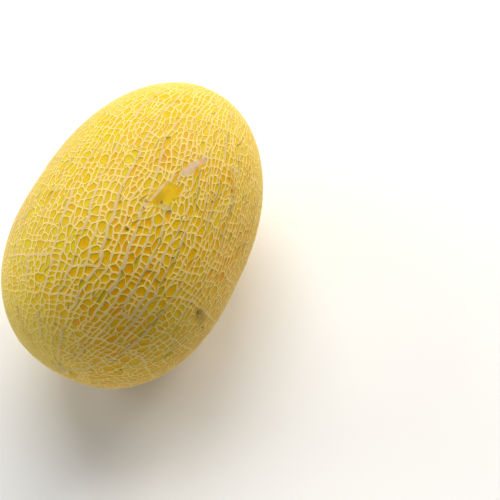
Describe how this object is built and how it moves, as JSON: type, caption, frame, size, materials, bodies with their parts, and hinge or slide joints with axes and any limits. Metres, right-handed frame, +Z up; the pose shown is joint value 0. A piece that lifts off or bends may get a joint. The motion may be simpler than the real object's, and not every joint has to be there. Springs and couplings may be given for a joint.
{
  "type": "netted melon",
  "caption": "Whole oval netted melon with a yellow rind under a raised corky net, lying on its side on a small flat spot.",
  "frame": {"origin": "on the surface that the melon lies on, under the middle of its box", "axes": "+X along the fruit from its broad blossom end to its stem end, +Z up, +Y to the left of the stem end"},
  "size_m": [0.2016, 0.1358, 0.1351],
  "materials": {
    "rind": null
  },
  "bodies": {
    "root": {"melon": "rind"}
  },
  "joints": []
}
